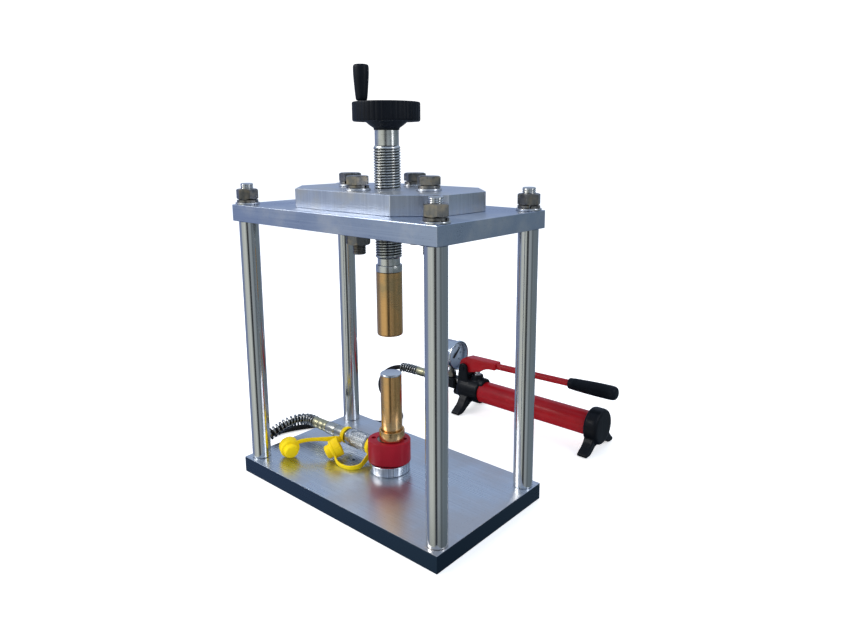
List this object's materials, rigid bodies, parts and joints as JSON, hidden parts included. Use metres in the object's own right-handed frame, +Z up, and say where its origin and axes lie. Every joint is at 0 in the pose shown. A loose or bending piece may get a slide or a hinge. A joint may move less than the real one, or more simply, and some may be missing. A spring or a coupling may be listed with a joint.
{
  "type": "tablet press",
  "caption": "Bench tablet press: four-column steel frame, hand screw with brass anvil above, small hydraulic ram below, fed by a red hand pump with a gauge through a hose.",
  "frame": {"origin": "centre of the base plate's underside", "axes": "+X along the plates' long side towards the pump's lever grip, +Y back towards the pump, +Z up"},
  "size_m": [0.5471, 0.5105, 0.658],
  "materials": {
    "plate_steel": "brushed",
    "polished_steel": "polished",
    "screw_steel": "satin",
    "zinc_steel": "plated",
    "brass": "polished",
    "olive_brass": "satin",
    "red_paint": "gloss",
    "black_paint": "satin",
    "black_plastic": "satin",
    "yellow_plastic": "satin",
    "hose_rubber": "satin",
    "gauge_silver": "satin"
  },
  "bodies": {
    "frame": {"base_plate": "plate_steel", "top_plate": "plate_steel", "screw_block": "plate_steel", "column_front_left": "polished_steel", "column_washers_front_left": "zinc_steel", "column_nut_front_left": "zinc_steel", "column_front_right": "polished_steel", "column_washers_front_right": "zinc_steel", "column_nut_front_right": "zinc_steel", "column_rear_left": "polished_steel", "column_washers_rear_left": "zinc_steel", "column_nut_rear_left": "zinc_steel", "column_rear_right": "polished_steel", "column_washers_rear_right": "zinc_steel", "column_nut_rear_right": "zinc_steel", "block_washers_front": "zinc_steel", "block_bolt_front": "zinc_steel", "block_nut_front": "zinc_steel", "block_washers_right": "zinc_steel", "block_bolt_right": "zinc_steel", "block_nut_right": "zinc_steel", "block_washers_rear": "zinc_steel", "block_bolt_rear": "zinc_steel", "block_nut_rear": "zinc_steel", "block_washers_left": "zinc_steel", "block_bolt_left": "zinc_steel", "block_nut_left": "zinc_steel", "ram_seat": "polished_steel", "ram_body": "red_paint", "ram_gland": "zinc_steel", "ram_spring": "zinc_steel", "coupler_nipple": "zinc_steel", "hose_adaptor": "zinc_steel", "ram_ferrule": "olive_brass", "dust_cap_hose": "yellow_plastic", "dust_cap_ram": "yellow_plastic", "hose": "hose_rubber", "pump_head": "black_paint", "pump_barrel": "red_paint", "pump_end_cap": "black_paint", "lever_pin": "zinc_steel", "pump_port": "black_paint", "pump_ferrule": "olive_brass", "gauge_case": "gauge_silver"},
    "screw": {"press_screw": "screw_steel", "handwheel": "black_plastic", "grip_spindle": "zinc_steel"},
    "anvil": {"upper_anvil": "brass", "upper_collar": "screw_steel"},
    "wheel_grip": {"wheel_grip": "black_plastic"},
    "ram": {"ram_piston": "polished_steel", "lower_collar": "brass", "lower_post": "brass", "lower_core": "screw_steel"},
    "sleeve": {"coupler_sleeve": "zinc_steel"},
    "lever": {"pump_lever": "red_paint", "lever_grip": "black_plastic"},
    "plunger": {"pump_plunger": "polished_steel"},
    "valve": {"release_valve": "black_plastic"},
    "needle": {"gauge_needle": "black_paint"}
  },
  "joints": [
    {"name": "screw_feed", "type": "slide", "parent": "frame", "child": "anvil", "axis": [0, 0, 1], "range_m": [-0.0541, 0.0601]},
    {"name": "screw_turn", "type": "hinge", "parent": "anvil", "child": "screw", "pos_m": [0.007, 0.007, 0.45], "axis": [0, 0, 1], "range_deg": [-4860, 5400]},
    {"name": "grip_spin", "type": "hinge", "parent": "screw", "child": "wheel_grip", "pos_m": [-0.01313, -0.02285, 0.63], "axis": [0, 0, 1], "continuous": true},
    {"name": "ram_stroke", "type": "slide", "parent": "frame", "child": "ram", "axis": [0, 0, 1], "range_m": [0, 0.008], "stiffness_N_per_m": 4000, "springref_m": -0.003, "deforming": ["ram_spring"]},
    {"name": "sleeve_spin", "type": "hinge", "parent": "frame", "child": "sleeve", "pos_m": [-0.069, 0.007, 0.0525], "axis": [1, 0, 0], "continuous": true},
    {"name": "pump_lever", "type": "hinge", "parent": "frame", "child": "lever", "pos_m": [-0.098, 0.336, 0.09], "axis": [0, -1, 0], "range_deg": [0, 40]},
    {"name": "pump_plunger", "type": "slide", "parent": "frame", "child": "plunger", "axis": [0, 0, 1], "range_m": [0, 0.0142]},
    {"name": "release_valve", "type": "hinge", "parent": "frame", "child": "valve", "pos_m": [-0.125, 0.336, 0.0285], "axis": [1, 0, 0], "range_deg": [0, 270]},
    {"name": "gauge_needle", "type": "hinge", "parent": "frame", "child": "needle", "pos_m": [-0.133, 0.336, 0.108], "axis": [1, 0, 0], "range_deg": [-85, 185]}
  ],
  "couplings": [
    {"joint": "screw_feed", "follows": "screw_turn", "m_per_rad": 0.00063662},
    {"joint": "pump_plunger", "follows": "pump_lever", "m_per_rad": 0.02}
  ]
}
